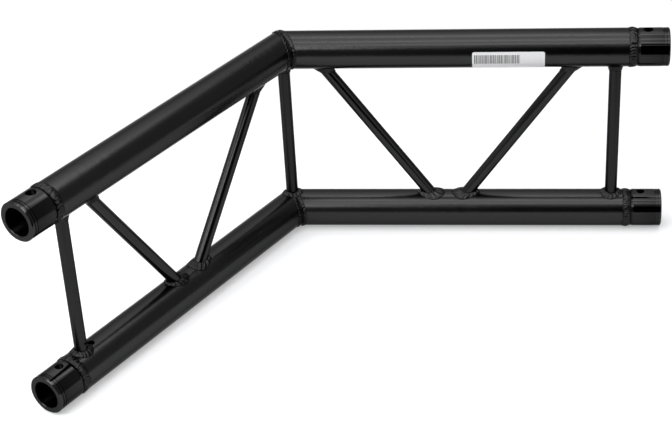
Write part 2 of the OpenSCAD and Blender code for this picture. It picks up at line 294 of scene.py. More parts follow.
# %% The section of a fillet
FILLET_SECTION = np.linspace(0, 1, 11)
FILLET_CLOSING = 3
HOLLOW = {LOWER: 1.6, UPPER: 2.2}
BRACE_STEP = {LOWER: 0.3, UPPER: 0.75}
CHORD_STEP, LEAST_STEP = 0.6, 0.15
SUNK, PAST_TOE = 0.35, 0.2
LUMPY = {LOWER: 1.15, UPPER: 0.6}
FILLET_DROPS, FILLET_VALLEY, FILLET_LAG = 14, 0.8, 0.012
DROP_LEVEL, WAVE_SHARE = 0.4, 0.5
MIDDLE_SHARE, CHORD_SHARE, BRACE_SHARE = 0.75, 0.5, 0.3
LUMP_WAVES, LUMP_SEED = 7, 300


def fillet_section(level, toe, leg, way, seed):
    """Points of the section as pairs of arrays along the way: out from the brace, high above the chord."""
    height = drops(FILLET_DROPS, seed, FILLET_VALLEY)
    lumps = slow_wave(seed + LUMP_SEED, LUMP_WAVES)(way)
    section = []
    for t in FILLET_SECTION:
        bulge = math.sin(math.pi * t)
        lump = LUMPY[level] * (height(way + FILLET_LAG * bulge) - DROP_LEVEL + WAVE_SHARE * lumps)
        out = toe * math.sin(math.pi / 2 * t) ** HOLLOW[level] + BRACE_STEP[level] * (1 - t) ** 2
        out = out + lump * (MIDDLE_SHARE * bulge + CHORD_SHARE * t)
        high = leg * math.cos(math.pi / 2 * t) ** HOLLOW[level] + CHORD_STEP * t**2
        high = high + lump * (MIDDLE_SHARE * bulge + BRACE_SHARE * (1 - t))
        least_out = LEAST_STEP * (1 - t) - SUNK * t
        section.append((np.maximum(out, least_out), np.maximum(high, LEAST_STEP * t)))
    inside = np.full_like(way, -SUNK)
    return section + [(toe + PAST_TOE, inside), (inside, inside), (inside, leg + PAST_TOE)]


# %% [markdown]
# The section is then carried round the brace. Its two legs wander a little on the way, and each of its
# points is set on the saddle that belongs to its own radius, so the bead hugs both tubes all round.

# %% One fillet bead
FILLET_STEPS = 240
TOE_WAVES, TOE_WANDER, TOE_SEED = 5, 0.09, 100
LEG_WANDER, LEG_SEED = 0.10, 200


def fillet_rows(level, lean, seed, on_mitre=False, drain=0.0):
    """Rows of points of a fillet in the brace's own frame, Z along the brace."""
    way = np.arange(FILLET_STEPS) / FILLET_STEPS
    a = 2 * np.pi * way
    toe = toe_reach(a, level, lean, drain) * (1 + TOE_WANDER * slow_wave(seed + TOE_SEED, TOE_WAVES)(way))
    leg = BRACE_LEG[level] * (1 + LEG_WANDER * slow_wave(seed + LEG_SEED)(way))
    from_chord = a
    if on_mitre:
        from_chord = np.where(np.cos(a) >= 0, a + LEG_ANGLE, np.pi - a + LEG_ANGLE)
    points = []
    for out, high in fillet_section(level, toe, leg, way, seed):
        r = BRACE_R + out
        up = saddle(from_chord, r, CHORD_R + high, lean)
        points.append(np.stack([r * np.cos(a), r * np.sin(a), up], axis=1))
    return np.stack(points, axis=1)


# %% [markdown]
# ## Where the braces stand
#
# The stations are distances from the corner axis along the leg: for each diagonal its head on the upper
# chord and its foot on the lower one. On the photographed piece they seem to be set by eye: the V of the
# left leg meets almost sixteen millimetres further out than that of the right leg. So each station is a
# number of its own, and the right leg isn't a mirrored copy of the left one.

# %% Place the fillets of the legs
STRUT = 433.0
BRACES = {
    LEFT: {"inner": (41.0, 222.75), "outer": (403.5, 237.75)},
    RIGHT: {"inner": (35.5, 207.0), "outer": (395.5, 222.0)},
}
UPRIGHT = math.pi / 2
FILLET_SEED = 10


def add_fillet(node, rows, near, lean, side, level):
    """Turns the rows to the brace's lean and moves them to its station near the chord."""
    tilt = UPRIGHT - lean
    across, aside, along = np.moveaxis(rows, -1, 0)
    x = across * math.cos(tilt) + along * math.sin(tilt) + near
    z = along * math.cos(tilt) - across * math.sin(tilt)
    placed = to_part(np.stack([x, aside, z], axis=-1), side, level, from_inside=True)
    add_bead(node, placed, toe_marks(FILLET_SECTION, FILLET_CLOSING))


seed = FILLET_SEED
for side in (LEFT, RIGHT):
    for level in (UPPER, LOWER):
        seed += 1
        drained = side == LEFT and level == LOWER
        rows = fillet_rows(level, UPRIGHT, seed, drain=DRAIN if drained else 0.0)
        node = f"{SIDE_WORD[side]}_end_strut_{LEVEL_WORD[level]}_weld"
        add_fillet(node, rows, STRUT, UPRIGHT, side, level)
        for which, (head, foot) in BRACES[side].items():
            seed += 1
            near, far = (head, foot) if level == UPPER else (foot, head)
            lean = math.atan2(SPACING, far - near)
            node = f"{SIDE_WORD[side]}_{which}_diagonal_{LEVEL_WORD[level]}_weld"
            add_fillet(node, fillet_rows(level, lean, seed), near, lean, side, level)
print(len(beads), "fillets on the legs")

# %% [markdown]
# The corner strut stands on the mitre, so its bead runs over both legs. It could be cut from two fillets
# that are joined in the middle. It is simpler to build it straight on the corner axis and to measure the
# saddle from whichever leg lies on that side.

# %% Fillets of the corner strut
CORNER_SEED = 60
# At the head of the corner strut half the section counts as toe, so the painted shade there spreads over
# the whole bead, fading to its middle.
CORNER_TOE = {LOWER: TOE_SHARE, UPPER: 0.5}
for level in (UPPER, LOWER):
    rows = fillet_rows(level, UPRIGHT, CORNER_SEED + level, on_mitre=True)
    toes = toe_marks(FILLET_SECTION, FILLET_CLOSING, CORNER_TOE[level])
    add_bead(f"corner_strut_{LEVEL_WORD[level]}_weld", to_corner(rows, level), toes)
print(len(beads), "fillets with those of the corner strut")

# %% [markdown]
# ## Ring beads at the receivers
#
# The receiver is slipped into the chord and welded all round. This bead is the boldest on the object:
# fine drops lie on bigger lumps, each drop a crescent whose middle trails. The bead wanders a little
# along the chord, and beside the receiver it falls off steeply into a dark groove. It could be a torus
# with a displace modifier, but a section whose points are worked out one by one gives the steep side and
# the crescents. The crest just reaches the height of the CAD ring, so the part still stands on the floor at
# the same height.

# %% One ring bead
RING_STEPS = 420
RING_SECTION = np.linspace(0, 1, 17)
RING_START, RING_END, RING_HIGH = 448.3, 459.3, 1.4
RING_DROPS = {"count": 27, "valley": 0.8, "uneven": 0.6}
RING_LUMPS = {"count": 14, "valley": 0.6, "uneven": 0.5}
RING_WAVES, RING_LAG, RING_ROUND = 9, 0.014, 0.5
START_WANDER, MIDDLE_WANDER, EDGE_WANDER = 0.9, 0.5, 1.4
RING_FALL = 1.05
SKIN_SHARE, RING_DROP_SHARE, RING_LUMP_SHARE = 0.05, 0.6, 0.35
RING_LUMP_SEED, RING_WANDER_SEED = 20, 50
RING_TUCK, RING_DEEP, RING_CLOSING = 1.0, 2.0, 2


def ring_rows(seed):
    """Rows of points of a ring bead in the chord's frame."""
    way = np.arange(RING_STEPS) / RING_STEPS
    a = 2 * np.pi * way
    height = drops(seed=seed, **RING_DROPS)
    lumps = drops(seed=seed + RING_LUMP_SEED, **RING_LUMPS)(way)
    wander = slow_wave(seed + RING_WANDER_SEED, RING_WAVES)(way)
    start = RING_START + START_WANDER * wander
    section = []
    for t in RING_SECTION:
        bulge = math.sin(math.pi * t)
        drop = height(way + RING_LAG * bulge)
        ragged = EDGE_WANDER * (lumps - 0.5) * (2 * t - 1)
        s = start + (RING_END - start) * t + ragged - MIDDLE_WANDER * wander * bulge
        fall = RING_FALL * max(2 * t - 1, 0)
        swell = SKIN_SHARE + RING_DROP_SHARE * drop + RING_LUMP_SHARE * lumps
        section.append((s, CHORD_R - fall + RING_HIGH * bulge**RING_ROUND * swell))
    section.append((np.full_like(a, RING_END - RING_TUCK), np.full_like(a, CHORD_R - RING_DEEP)))
    section.append((start + RING_TUCK, np.full_like(a, CHORD_R - SUNK)))
    return np.stack([np.stack([s, r * np.cos(a), r * np.sin(a)], axis=1) for s, r in section], axis=1)


# %% Four ring beads
RING_SEED, RING_SIDE_SEED = 80, 3
for side in (LEFT, RIGHT):
    for level in (UPPER, LOWER):
        rows = ring_rows(RING_SEED + RING_SIDE_SEED * side + level)
        node = f"{LEVEL_WORD[level]}_{SIDE_WORD[side]}_receiver_weld"
        add_bead(node, to_part(rows, side, level), toe_marks(RING_SECTION, RING_CLOSING))
print("ring beads from", RING_START, "to", RING_END, "mm along the leg")

# %% [markdown]
# ## Mitre beads
#
# Where the chords meet at the corner, the seam was welded in two passes that lie side by side with a dark
# valley between them. One bead with one ridge would look like a cord laid on the seam, so the section has
# two ridges, each with its own row of drops. The bead starts behind the corner strut, runs round the
# outside of the mitre and ends in front of the strut, so it is an open path with two caps.

# %% The section of a mitre bead
MITRE_STEPS = 380
MITRE_SECTION = np.linspace(-1, 1, 25)
MITRE_HALF, MITRE_HIGH, MITRE_VALLEY = 6.2, 1.4, 0.1
LEFT_DROPS, RIGHT_DROPS = 26, 29
PASS_MIDDLE, PASS_HALF, PASS_ROUND, PASS_LAG = 0.52, 0.48, 0.6, 0.008
PASS_LEAST = 0.4
MITRE_WAVES, MITRE_WANDER, MITRE_RAGGED = 5, 0.06, 0.05
MITRE_TOE_FROM, MITRE_TOE_DEEP = 0.97, 0.15
MITRE_TUCK, MITRE_DEEP, MITRE_CLOSING = 0.9, 0.2, 2


def mitre_section(way, seed):
    """Points of the section as pairs of arrays along the way: across the mitre, high above the chord."""
    passes = {LEFT: drops(LEFT_DROPS, seed), RIGHT: drops(RIGHT_DROPS, seed + 1)}
    wander = slow_wave(seed + 2, MITRE_WAVES)(way)
    section = []
    for u in MITRE_SECTION:
        across = abs(u)
        drop = passes[RIGHT if u >= 0 else LEFT](way + PASS_LAG * math.sin(math.pi * across))
        ridge = max(1 - ((across - PASS_MIDDLE) / PASS_HALF) ** 2, 0) ** PASS_ROUND
        swell = PASS_LEAST + (1 - PASS_LEAST) * drop
        high = MITRE_VALLEY + (MITRE_HIGH - MITRE_VALLEY) * ridge * swell
        high = np.where(across > MITRE_TOE_FROM, -MITRE_TOE_DEEP, high)
        x = MITRE_HALF * u * (1 + MITRE_WANDER * wander + MITRE_RAGGED * (drop - 0.5))
        section.append((x, high))
    under = np.full_like(way, -SUNK - MITRE_DEEP)
    return section + [(section[end][0] * MITRE_TUCK, under) for end in (-1, 0)]


# %% [markdown]
# The path lies on both chords at once. At a distance x from the mitre each chord has moved back by x
# times the tangent of the leg's angle, so a section of the mitre is an ellipse, and the formula below
# walks round it from one side of the strut to the other.

# %% Two mitre beads
STRUT_ROOM = {LOWER: 5.0, UPPER: 2.6}
MITRE_SEED, MITRE_LEVEL_SEED = 120, 5
MITRE_TOE = 0.1


def mitre_rows(level, seed):
    """Rows of points of a mitre bead about the corner axis, X across the mitre."""
    way = np.linspace(0, 1, MITRE_STEPS)
    clear = BRACE_R + STRUT_ROOM[level]
    points = []
    for x, high in mitre_section(way, seed):
        rho = CHORD_R + high
        back = np.abs(x) * math.tan(LEG_ANGLE)
        edge = np.sqrt(clear**2 - x**2)
        start = np.arccos((back + edge) * math.cos(LEG_ANGLE) / rho)
        end = np.arccos((back - edge) * math.cos(LEG_ANGLE) / rho) - 2 * np.pi
        a = start + (end - start) * way
        y = rho * np.cos(a) / math.cos(LEG_ANGLE) - back
        points.append(np.stack([x, y, rho * np.sin(a)], axis=1))
    return np.stack(points, axis=1)


for level in (UPPER, LOWER):
    rows = mitre_rows(level, MITRE_SEED + MITRE_LEVEL_SEED * level)
    toes = toe_marks((MITRE_SECTION + 1) / 2, MITRE_CLOSING, MITRE_TOE)
    add_bead(f"{LEVEL_WORD[level]}_mitre_weld", to_corner(rows, level), toes, loop=False)
print(len(beads), "beads,", sum(len(bead.data.polygons) for bead in beads), "faces")

# %% [markdown]
# ## The label
#
# A white film is stuck round the front and the underside of the upper right chord, and its corners are
# rounded. A flat plane could be wrapped by a shrinkwrap modifier. A grid bent round the chord's axis is
# exact, and with a back and four edges it is a closed film with a real thickness. It carries a UV map in
# decimetres, so that a material can draw the print on it.

# %% A rounded film on the chord
LABEL_FROM, LABEL_LONG, LABEL_WIDE = 248.5, 93.0, 40.0
LABEL_TOP = math.radians(14)
LABEL_STEPS, LABEL_ROUND = 48, 2.5
FILM_LIFT, BACK_LIFT = 0.33, 0.02
DECIMETRE = 100

film_r, back_r = CHORD_R + FILM_LIFT, CHORD_R + BACK_LIFT
points, uvs = [], []
for w in np.arange(LABEL_STEPS + 1) * LABEL_WIDE / LABEL_STEPS:
    past_round = max(LABEL_ROUND - min(w, LABEL_WIDE - w), 0)
    inset = LABEL_ROUND - math.sqrt(max(LABEL_ROUND**2 - past_round**2, 0))
    a = LABEL_TOP - w / CHORD_R
    first, last = inset, LABEL_LONG - inset
    section = ((first, back_r), (first, film_r), (last, film_r), (last, back_r))
    for s, r in section:
        points.append((LABEL_FROM + s, -r * math.cos(a), r * math.sin(a)))
        uvs.append((s / DECIMETRE, w / DECIMETRE))
label_mesh = bpy.data.meshes.new("label_film")
label_faces = grid_faces(LABEL_STEPS + 1, len(section), loop=False)
label_mesh.from_pydata(to_part(points, RIGHT, UPPER).tolist(), [], label_faces)
turn_outward(label_mesh)
layer = label_mesh.uv_layers.new(name="decimetres")
for loop in label_mesh.loops:
    layer.data[loop.index].uv = uvs[loop.vertex_index]
label = add_object("label_film", label_mesh)
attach(label, "root")
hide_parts("identification_label")
print("label", LABEL_LONG, "x", LABEL_WIDE, "mm")

# %% [markdown]
# ## Materials from nodes
#
# A material in Blender is a tree of nodes: textures and small sums whose results flow into a shader. The
# helpers below add one node each, link what comes from other nodes and set what is a fixed number. With
# them a finish reads like a recipe.

# %% Helpers for shader nodes
MIX_FIRST, MIX_SECOND, MIX_RESULT = 6, 7, 2


def feed(tree, socket, value):
    """Links a socket to another node's output, or sets it to a fixed value."""
    if isinstance(value, bpy.types.NodeSocket):
        tree.links.new(value, socket)
    else:
        socket.default_value = value


def combine(tree, operation, first, second):
    """The result of a Math node on two values."""
    node = tree.nodes.new("ShaderNodeMath")
    node.operation = operation
    feed(tree, node.inputs[0], first)
    feed(tree, node.inputs[1], second)
    return node.outputs[0]


def mix_colours(tree, share, first, second):
    """A colour between two, by a share of the second."""
    node = tree.nodes.new("ShaderNodeMix")
    node.data_type = "RGBA"
    feed(tree, node.inputs[0], share)
    feed(tree, node.inputs[MIX_FIRST], first)
    feed(tree, node.inputs[MIX_SECOND], second)
    return node.outputs[MIX_RESULT]


# %% Helpers for textures and tones
def noise(tree, vector, scale, detail):
    """A noise texture at a scale per metre."""
    node = tree.nodes.new("ShaderNodeTexNoise")
    node.inputs["Scale"].default_value = scale
    node.inputs["Detail"].default_value = detail
    tree.links.new(vector, node.inputs["Vector"])
    return node.outputs["Fac"]


def remap(tree, value, low, high, to_low, to_high, way="LINEAR"):
    """A value carried from one range to another."""
    node = tree.nodes.new("ShaderNodeMapRange")
    node.interpolation_type = way
    for socket, number in (("From Min", low), ("From Max", high), ("To Min", to_low), ("To Max", to_high)):
        node.inputs[socket].default_value = number
    tree.links.new(value, node.inputs["Value"])
    return node.outputs["Result"]


def grey(value):
    """An opaque grey."""
    return (value, value, value, 1)


# %% [markdown]
# ## Colour of the powder coat
#
# The frame was sprayed with black powder and baked. One flat black would look like a drawing, so a slow
# noise gives clouds in the tone, and on the chords a noise that is stretched along the tube gives the
# faint lines of the drawn metal below. The Pointiness of the geometry finds the edges where handling has
# rubbed the coat, and on the beads the stored toe darkens the line along the toes as a painted shade of the
# crease. The noise works in the object's own metres, so it stays fixed on the metal.

# %% Clouds, drawing lines, rubbed edges and painted shade at the toes
CLOUD_SCALE, CLOUD_DETAIL = 24.0, 6.0
CLOUD_RAMP = {0.28: 0.78, 0.75: 1.2}
COOL = 1.02
NOISE_LOW, NOISE_HIGH = 0.3, 0.7
LINE_SCALE, LINE_DETAIL, LINE_STRETCH = 420.0, 3.0, 60
EDGE_FROM, EDGE_TO = 0.53, 0.62
# The grey of the painted shade at the toes, as a share of the coat's tone.
TOE_SHADE_TONE = 0.1


def drawing_lines(tree, place, turn, strength):
    """A noise about 0 that is stretched along a tube, which is turned about Z."""
    drawn = tree.nodes.new("ShaderNodeMapping")
    drawn.vector_type = "TEXTURE"
    drawn.inputs["Rotation"].default_value = (0, 0, turn)
    drawn.inputs["Scale"].default_value = (LINE_STRETCH, 1, 1)
    tree.links.new(place, drawn.inputs["Vector"])
    fine = noise(tree, drawn.outputs["Vector"], LINE_SCALE, LINE_DETAIL)
    return remap(tree, fine, NOISE_LOW, NOISE_HIGH, -strength, strength)


def coat_colour(tree, place, tone, worn, turn, lines, toe_shade):
    """The colour of a coat: tone is its grey, worn the grey of rubbed edges; the last value is the share of
    painted shade at the toes.
    """
    cloud = noise(tree, place, CLOUD_SCALE, CLOUD_DETAIL)
    if lines:
        cloud = combine(tree, "ADD", cloud, drawing_lines(tree, place, turn, lines))
    ramp = tree.nodes.new("ShaderNodeValToRGB")
    for element, (position, share) in zip(ramp.color_ramp.elements, CLOUD_RAMP.items()):
        element.position = position
        element.color = (tone * share, tone * share, tone * share * COOL, 1)
    tree.links.new(cloud, ramp.inputs["Fac"])
    edges = tree.nodes.new("ShaderNodeNewGeometry").outputs["Pointiness"]
    rubbed = remap(tree, edges, EDGE_FROM, EDGE_TO, 0, 1)
    colour = mix_colours(tree, rubbed, ramp.outputs["Color"], grey(worn))
    if toe_shade:
        # Painted shade: the beads get darker towards their toes, where they meet the tubes in a crease.
        toe = tree.nodes.new("ShaderNodeAttribute")
        toe.attribute_name = "toe"
        shade = remap(tree, toe.outputs["Fac"], 0, 1, 0, toe_shade)
        colour = mix_colours(tree, shade, colour, grey(tone * TOE_SHADE_TONE))
    return colour


# %% [markdown]
# ## Skin of the powder coat
#
# Baked powder has a fine orange peel, and the heat of welding has warped the thin chords a little: at the
# heads of the diagonals and where their feet meet, a wider, very shallow dent bends the reflections. Both
# are far too shallow to change an outline, so they are bumps in the material and the tubes keep their
# exact shape.

# %% Orange peel and dents
PEEL_GRAIN, PEEL_DETAIL, PEEL_DEPTH = 1500.0, 2.0, 0.00005
DENT_NEAR, DENT_FAR, DENT_TRACE = 0.035, 0.075, 0.05
DENT_SCALE, DENT_DETAIL, DENT_DEPTH = 100.0, 1.0, 0.0002


def dents(tree, place, joints):
    """A shallow noise that fades to a trace at a distance from the joints."""
    near = []
    for joint in joints:
        away = tree.nodes.new("ShaderNodeVectorMath")
        away.operation = "DISTANCE"
        away.inputs[1].default_value = joint
        tree.links.new(place, away.inputs[0])
        near.append(remap(tree, away.outputs["Value"], DENT_NEAR, DENT_FAR, 1, DENT_TRACE, "SMOOTHSTEP"))
    total = near[0]
    for other in near[1:]:
        total = combine(tree, "ADD", total, other)
    return combine(tree, "MULTIPLY", total, noise(tree, place, DENT_SCALE, DENT_DETAIL))


def coat_skin(tree, place, peel, grain, depth, joints):
    """The bumps of a coat as a normal: its peel and, where there are joints, the dents round them."""
    bump = tree.nodes.new("ShaderNodeBump")
    bump.inputs["Strength"].default_value = peel
    bump.inputs["Distance"].default_value = depth
    tree.links.new(noise(tree, place, grain, PEEL_DETAIL), bump.inputs["Height"])
    if joints:
        dent = tree.nodes.new("ShaderNodeBump")
        dent.inputs["Distance"].default_value = DENT_DEPTH
        tree.links.new(dents(tree, place, joints), dent.inputs["Height"])
        tree.links.new(dent.outputs["Normal"], bump.inputs["Normal"])
    return bump.outputs["Normal"]


# %% [markdown]
# ## The coats
#
# In the photograph the shine hardly grows towards the edges of the tubes, as it would on a plastic. So
# the shader is a very dark metal with a weak edge tint. One recipe serves all black pieces, and each kind
# gets its own numbers: the chords have lines and dents, the beads are lighter and rougher, the turned
# receivers almost mirror the lamps, and inside the sockets the coat is dull and darker, a painted shade.

# %% A recipe for the coats
GLOSS_SCALE, GLOSS_DETAIL, GLOSS_SPREAD = 15.0, 1.0, 0.1
EDGE_TINT = 0.5


def coat(
    name, tone, rough, peel, worn,
    turn=0.0, lines=0.0, toe_shade=0.0, joints=(), grain=PEEL_GRAIN, depth=PEEL_DEPTH,
):
    """A black coat. Besides the values of its colour and skin, rough is the dullness of its gloss."""
    material = bpy.data.materials.new(name)
    material.use_nodes = True
    tree = material.node_tree
    shader = tree.nodes["Principled BSDF"]
    place = tree.nodes.new("ShaderNodeTexCoord").outputs["Object"]
    gloss = noise(tree, place, GLOSS_SCALE, GLOSS_DETAIL)
    smooth, dull = rough * (1 - GLOSS_SPREAD), rough * (1 + GLOSS_SPREAD)
    feed(tree, shader.inputs["Base Color"], coat_colour(tree, place, tone, worn, turn, lines, toe_shade))
    feed(tree, shader.inputs["Roughness"], remap(tree, gloss, NOISE_LOW, NOISE_HIGH, smooth, dull))
    feed(tree, shader.inputs["Normal"], coat_skin(tree, place, peel, grain, depth, joints))
    shader.inputs["Metallic"].default_value = 1.0
    shader.inputs["Specular Tint"].default_value = grey(EDGE_TINT)
    return material


# %% [markdown]
# A chord's coat has to know which way its tube runs, for the drawing lines, and where its joints are, for
# the dents. So each leg has its own, and the two differ in nothing else.

# %% Mix the coats
CHORD_FINISH = {"tone": 0.0098, "rough": 0.22, "peel": 0.8, "worn": 0.03, "lines": 0.07}
WELD_SKIN = {"grain": 900.0, "depth": 0.00015}
chord_coats = {}
for side in (LEFT, RIGHT):
    heads = [head + CHORD_R * (foot - head) / SPACING for head, foot in BRACES[side].values()]
    meeting = sum(foot for head, foot in BRACES[side].values()) / 2
    joints = to_part([(head, 0, 0) for head in heads], side, UPPER).tolist()
    joints += to_part([(meeting, 0, 0)], side, LOWER).tolist()
    name = f"black_{SIDE_WORD[side]}_chord_coat"
    chord_coats[side] = coat(name, turn=-side * LEG_ANGLE, joints=joints, **CHORD_FINISH)
strut_coat = coat("black_strut_coat", tone=0.0075, rough=0.28, peel=1.0, worn=0.02)
diagonal_coat = coat("black_diagonal_coat", tone=0.0088, rough=0.18, peel=1.0, worn=0.03)
# The beads carry the painted shade at their toes.
weld_coat = coat("black_weld_coat", tone=0.0215, rough=0.24, peel=1.0, worn=0.045, toe_shade=0.9, **WELD_SKIN)
receiver_coat = coat("black_receiver_coat", tone=0.0148, rough=0.08, peel=0.25, worn=0.04)
# Painted shade: the sockets and pin holes get a darker, duller coat than the receivers.
bore_shade_coat = coat("dull_bore_shade_coat", tone=0.009, rough=0.28, peel=1.0, worn=0.01)
print("coats:", [material.name for material in bpy.data.materials if material.name.endswith("_coat")])

# %% [markdown]
# ## Label print
#
# The film is white and slightly shiny. A picture could carry the print, but plain bars need none: they
# are a one-dimensional noise along the label, cut hard to dark or pale and shown only inside a window of
# the print. They say nothing. The window is given in millimetres from the label's left end and upper
# edge.

# %% Bars along the label
BAR_SCALE, BAR_DETAIL, BAR_CUT = 95.0, 1.0, 0.5
INK_DARK, INK_PALE = (0.06, 0.06, 0.065, 1), grey(0.6)
film = bpy.data.materials.new("printed_film")
film.use_nodes = True
tree = film.node_tree
uv = tree.nodes.new("ShaderNodeUVMap")
uv.uv_map = layer.name
axes = tree.nodes.new("ShaderNodeSeparateXYZ")
tree.links.new(uv.outputs["UV"], axes.inputs["Vector"])
bars = tree.nodes.new("ShaderNodeTexNoise")
bars.noise_dimensions = "1D"
bars.inputs["Scale"].default_value = BAR_SCALE
bars.inputs["Detail"].default_value = BAR_DETAIL
tree.links.new(axes.outputs["X"], bars.inputs["W"])
ink = tree.nodes.new("ShaderNodeValToRGB")
ink.color_ramp.interpolation = "CONSTANT"
dark_end, pale_end = ink.color_ramp.elements
dark_end.color = INK_DARK
pale_end.position = BAR_CUT
pale_end.color = INK_PALE
tree.links.new(bars.outputs["Fac"], ink.inputs["Fac"])
print("bars of noise at", BAR_SCALE, "to the decimetre")

# %% Print them inside a window
PRINT_LONG, PRINT_WIDE = (2.5, 61.2), (4.0, 17.5)
FILM_WHITE, FILM_ROUGH = (0.70, 0.70, 0.71, 1), 0.35


def window(tree, value, limits):
    """1 where a value in decimetres lies between limits in millimetres, else 0."""
    low, high = (limit / DECIMETRE for limit in limits)
    over = combine(tree, "GREATER_THAN", value, low)
    return combine(tree, "MULTIPLY", over, combine(tree, "LESS_THAN", value, high))


long_window = window(tree, axes.outputs["X"], PRINT_LONG)
field = combine(tree, "MULTIPLY", long_window, window(tree, axes.outputs["Y"], PRINT_WIDE))
shader = tree.nodes["Principled BSDF"]
shader.inputs["Roughness"].default_value = FILM_ROUGH
feed(tree, shader.inputs["Base Color"], mix_colours(tree, field, FILM_WHITE, ink.outputs["Color"]))
label.data.materials.append(film)
print("print from", PRINT_LONG[0], "to", PRINT_LONG[1], "mm along the label")

# %% [markdown]
# ## Paint the pieces
#
# The CAD tubes keep their exact shape and only get the coat. Their own material slot is emptied first,
# because the CAD file brings a flat colour with it. The sockets and pin holes of the receivers get a duller
# coat that is also darker, a painted shade of these recesses. They could be separate objects, but a mesh
# may hold several materials, so every face that lies deeper than the grooves and behind the end face gets
# it.

# %% Faces in a bore
GROOVE_DEEP, END_FACE = 0.0008, 0.4985


def in_bore(centre, side, axis_z):
    """True for a face of a receiver whose centre lies in its socket or a pin hole."""
    from_corner = (centre.x, centre.y - CORNER_Y)
    across = np.array([side * math.sin(LEG_ANGLE), math.cos(LEG_ANGLE)]) @ from_corner
    along = np.array([side * math.cos(LEG_ANGLE), -math.sin(LEG_ANGLE)]) @ from_corner
    deep = math.hypot(across, centre.z - axis_z) < CHORD_R / MM - GROOVE_DEEP
    return deep and along < END_FACE


# %% Give every piece its coat
bore_faces = 0
for name, node in nodes.items():
    if name.endswith("_weld") or name == "identification_label":
        continue
    side = LEFT if "left" in name else RIGHT
    slots = node.data.materials
    slots.clear()
    if name.endswith("_receiver"):
        slots.append(receiver_coat)
        # The second slot is the painted shade of the bores.
        slots.append(bore_shade_coat)
        axis_z = LEVEL_Z[UPPER if "upper" in name else LOWER]
        for face in node.data.polygons:
            face.material_index = int(in_bore(node.matrix_world @ face.center, side, axis_z))
            bore_faces += face.material_index
    elif name.endswith("_chord"):
        slots.append(chord_coats[side])
    else:
        slots.append(strut_coat if name.endswith("_strut") else diagonal_coat)
for bead in beads:
    bead.data.materials.append(weld_coat)
print(bore_faces, "faces of the receivers lie in a socket or a pin hole")

# %% [markdown]
# ## Studio
#
# The photograph has a white ground, and shiny metal shows whatever stands round it. A table and the world
# give that ground here. Stronger lamps would also turn it white, but would wash the object out. So the
# ground is white only to the rays that show it, straight to the camera, mirrored in metal or through
# glass, and stays dim as a source of plain light. The Light Path node tells these rays apart.


# %% Rays that show the ground
def shown(tree):
    """1 for rays that show a surface to the camera, directly, mirrored or through glass, else 0."""
    rays = tree.nodes.new("ShaderNodeLightPath").outputs
    direct_or_mirrored = combine(tree, "MAXIMUM", rays["Is Camera Ray"], rays["Is Glossy Ray"])
    return combine(tree, "MAXIMUM", direct_or_mirrored, rays["Is Transmission Ray"])


def mix_shaders(tree, share, first, second):
    """A shader between two, by a share of the second."""
    node = tree.nodes.new("ShaderNodeMixShader")
    for socket, source in zip(node.inputs, (share, first, second)):
        tree.links.new(source, socket)
    return node.outputs["Shader"]


# %% [markdown]
# ## Table
#
# The part stands on a white table, which takes its shadow and shows in the lower sides of the tubes.
# Where the table is shown, it is pale paper with a little glow of its own, so that the paper comes out
# white and the shadow stays. Towards its rim the lamps reach it less, so it fades there to the world's
# white and no edge is seen.

# %% Table top
TABLE_HALF_X, TABLE_HALF_Y, TABLE_MID_Y, TABLE_Z = 1.6, 0.68, -0.06, -0.0003
table_mesh = bpy.data.meshes.new("table")
signs = ((-1, -1), (1, -1), (1, 1), (-1, 1))
table_corners = [(x * TABLE_HALF_X, y * TABLE_HALF_Y, 0) for x, y in signs]
table_mesh.from_pydata(table_corners, [], [(0, 1, 2, 3)])
table = add_object("table", table_mesh)
table.location = (0, TABLE_MID_Y, TABLE_Z)
print("table", 2 * TABLE_HALF_X, "x", 2 * TABLE_HALF_Y, "m")


# %% A surface without shine
def matt(shader, colour):
    """Sets a Principled shader to a colour without any shine."""
    shader.inputs["Base Color"].default_value = colour
    shader.inputs["Roughness"].default_value = 1.0
    shader.inputs["Specular IOR Level"].default_value = 0.0


# %% Paper and its glow
TABLE_GREY = grey(0.74)
PAPER, PAPER_GLOW = (0.70, 0.705, 0.716, 1), grey(0.36)
white = bpy.data.materials.new("white_table")
white.use_nodes = True
tree = white.node_tree
plain = tree.nodes["Principled BSDF"]
matt(plain, TABLE_GREY)
paper = tree.nodes.new("ShaderNodeBsdfDiffuse")
paper.inputs["Color"].default_value = PAPER
glow = tree.nodes.new("ShaderNodeEmission")
glow.inputs["Color"].default_value = PAPER_GLOW
bright = tree.nodes.new("ShaderNodeAddShader")
tree.links.new(paper.outputs["BSDF"], bright.inputs[0])
tree.links.new(glow.outputs["Emission"], bright.inputs[1])
print("paper", PAPER[:3], "with a glow of", round(PAPER_GLOW[0], 2))

# %% A rim that fades to white
FADE_FROM, FADE_TO = 0.5, 0.95
share = tree.nodes.new("ShaderNodeVectorMath")
share.operation = "MULTIPLY"
share.inputs[1].default_value = (1 / TABLE_HALF_X, 1 / TABLE_HALF_Y, 0)
tree.links.new(tree.nodes.new("ShaderNodeTexCoord").outputs["Object"], share.inputs[0])
away = tree.nodes.new("ShaderNodeVectorMath")
away.operation = "LENGTH"
tree.links.new(share.outputs["Vector"], away.inputs[0])
rim = tree.nodes.new("ShaderNodeEmission").outputs["Emission"]
fade = remap(tree, away.outputs["Value"], FADE_FROM, FADE_TO, 0, 1, "SMOOTHSTEP")
ground = mix_shaders(tree, fade, bright.outputs["Shader"], rim)
surface = mix_shaders(tree, shown(tree), plain.outputs["BSDF"], ground)
tree.links.new(surface, tree.nodes["Material Output"].inputs["Surface"])
table.data.materials.append(white)
print("the table fades to white from", FADE_FROM, "to", FADE_TO, "of its half size")

# %% [markdown]
# ## World
#
# The world is the room round the table. A photograph of a studio could light it, but a white room needs
# no picture: two plain backgrounds, a dim one that fills the shadows and a white one that is shown.

